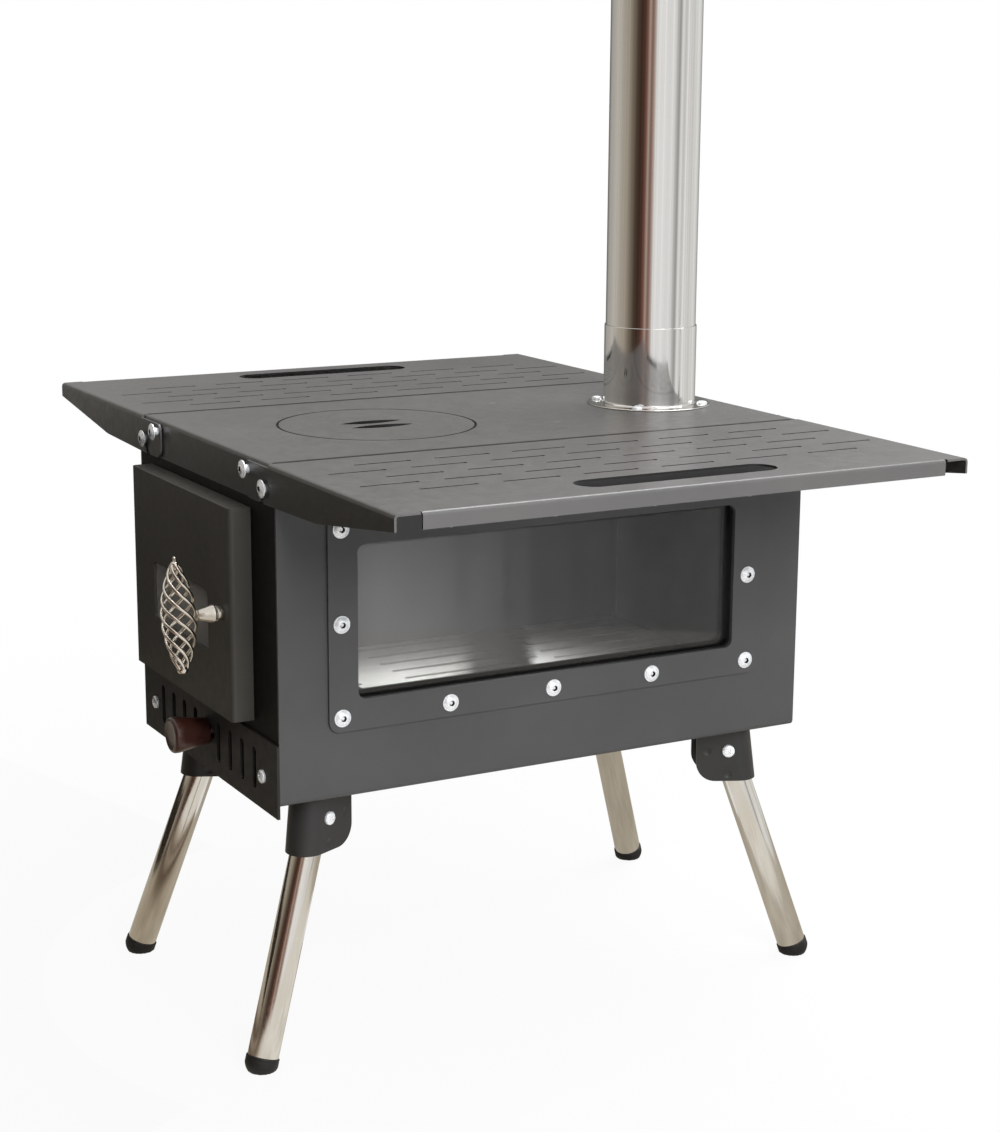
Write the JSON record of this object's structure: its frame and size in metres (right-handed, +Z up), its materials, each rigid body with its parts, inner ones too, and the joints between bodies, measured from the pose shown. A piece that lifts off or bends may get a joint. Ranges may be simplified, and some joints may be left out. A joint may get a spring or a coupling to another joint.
{
  "type": "tent wood stove",
  "caption": "Portable steel tent wood stove with a long side window, fold-up side shelves, folding legs, a round cooking lid, a hinged fuel door and a flue pipe.",
  "frame": {"origin": "on the floor, in the middle of the four feet", "axes": "+Z up; the fuel door looks along -Y and the flue stands at the +Y end; the side with the pictured long window faces +X"},
  "size_m": [0.6214, 0.5157, 0.7495],
  "materials": {
    "painted_sheet": "satin black heat-proof paint",
    "painted_top": "satin black heat-proof paint",
    "polished_steel": "mirror-polished stainless steel",
    "screw_steel": "bright stainless steel",
    "inner_steel": "bare steel, a little sooted",
    "window_glass": "clear ceramic glass, slightly smoked",
    "door_glass": "clear ceramic glass",
    "seal_rope": "black graphite rope seal",
    "rubber": "black rubber",
    "knob_wood": "dark red-brown lacquer"
  },
  "bodies": {
    "stove": {"body_shell": "painted_sheet", "front_panel": "painted_sheet", "rear_panel": "painted_sheet", "top_plate": "painted_top", "lid_ring": "inner_steel", "smoke_baffle": "inner_steel", "window_frame": "painted_sheet", "window_gasket": "seal_rope", "window_glass": "window_glass", "window_retainer": "inner_steel", "window_screws": "screw_steel", "window_nuts": "screw_steel", "hinge_leaf_body": "painted_sheet", "hinge_pin": "screw_steel", "vent_panel": "painted_sheet", "vent_screws": "screw_steel", "air_guides": "inner_steel", "shelf_pivot_screws": "screw_steel", "shelf_stop_screws": "screw_steel", "shelf_screw_nuts": "screw_steel", "flue_collar": "polished_steel", "flue_screws": "screw_steel", "leg_brackets": "painted_sheet", "leg_screws": "screw_steel", "leg_nuts": "screw_steel"},
    "lid": {"cooking_lid": "painted_top"},
    "grate": {"fire_grate": "inner_steel"},
    "door": {"door_shell": "painted_sheet", "door_liner": "painted_sheet", "door_glass": "door_glass", "door_glass_retainer": "inner_steel", "door_glass_nuts": "screw_steel", "door_gasket": "seal_rope", "hinge_leaf_door": "painted_sheet"},
    "latch": {"handle_cage": "screw_steel", "handle_boss": "screw_steel", "latch_shaft": "screw_steel", "latch_tongue": "inner_steel", "latch_nut": "screw_steel"},
    "damper": {"air_damper": "inner_steel", "air_knob": "knob_wood", "air_stem": "screw_steel"},
    "near_shelf": {"shelf_near": "painted_top"},
    "far_shelf": {"shelf_far": "painted_top"},
    "pipe": {"flue_pipe": "polished_steel"},
    "near_front_leg": {"leg_tube_near_front": "polished_steel", "foot_cap_near_front": "rubber"},
    "near_rear_leg": {"leg_tube_near_rear": "polished_steel", "foot_cap_near_rear": "rubber"},
    "far_front_leg": {"leg_tube_far_front": "polished_steel", "foot_cap_far_front": "rubber"},
    "far_rear_leg": {"leg_tube_far_rear": "polished_steel", "foot_cap_far_rear": "rubber"}
  },
  "joints": [
    {"name": "near_shelf_fold", "type": "hinge", "parent": "stove", "child": "near_shelf", "pos_m": [0.0871, 0, 0.4193], "axis": [0, -1, 0], "range_deg": [0, 90]},
    {"name": "far_shelf_fold", "type": "hinge", "parent": "stove", "child": "far_shelf", "pos_m": [-0.0871, 0, 0.4193], "axis": [0, 1, 0], "range_deg": [0, 90]},
    {"name": "door_swing", "type": "hinge", "parent": "stove", "child": "door", "pos_m": [-0.1085, -0.2185, 0.3175], "axis": [0, 0, -1], "range_deg": [0, 110]},
    {"name": "latch_turn", "type": "hinge", "parent": "door", "child": "latch", "pos_m": [0.0713, -0.2295, 0.3175], "axis": [0, 1, 0], "range_deg": [0, 90]},
    {"name": "air_slide", "type": "slide", "parent": "stove", "child": "damper", "axis": [1, 0, 0], "range_m": [0, 0.0111]},
    {"name": "lid_lift", "type": "slide", "parent": "stove", "child": "lid", "axis": [0, 0, 1], "range_m": [0, 0.12]},
    {"name": "grate_lift", "type": "slide", "parent": "stove", "child": "grate", "axis": [0, 0, 1], "range_m": [0, 0.04]},
    {"name": "pipe_lift", "type": "slide", "parent": "stove", "child": "pipe", "axis": [0, 0, 1], "range_m": [0, 0.1]},
    {"name": "near_front_leg_fold", "type": "hinge", "parent": "stove", "child": "near_front_leg", "pos_m": [0.0979, -0.1746, 0.1714], "axis": [0.9041, 0.4274, 0], "range_deg": [0, 109]},
    {"name": "near_rear_leg_fold", "type": "hinge", "parent": "stove", "child": "near_rear_leg", "pos_m": [0.0979, 0.1746, 0.1714], "axis": [-0.9041, 0.4274, 0], "range_deg": [0, 100]},
    {"name": "far_front_leg_fold", "type": "hinge", "parent": "stove", "child": "far_front_leg", "pos_m": [-0.0979, -0.1746, 0.1714], "axis": [0.9041, -0.4274, 0], "range_deg": [0, 109]},
    {"name": "far_rear_leg_fold", "type": "hinge", "parent": "stove", "child": "far_rear_leg", "pos_m": [-0.0979, 0.1746, 0.1714], "axis": [-0.9041, -0.4274, 0], "range_deg": [0, 100]}
  ]
}
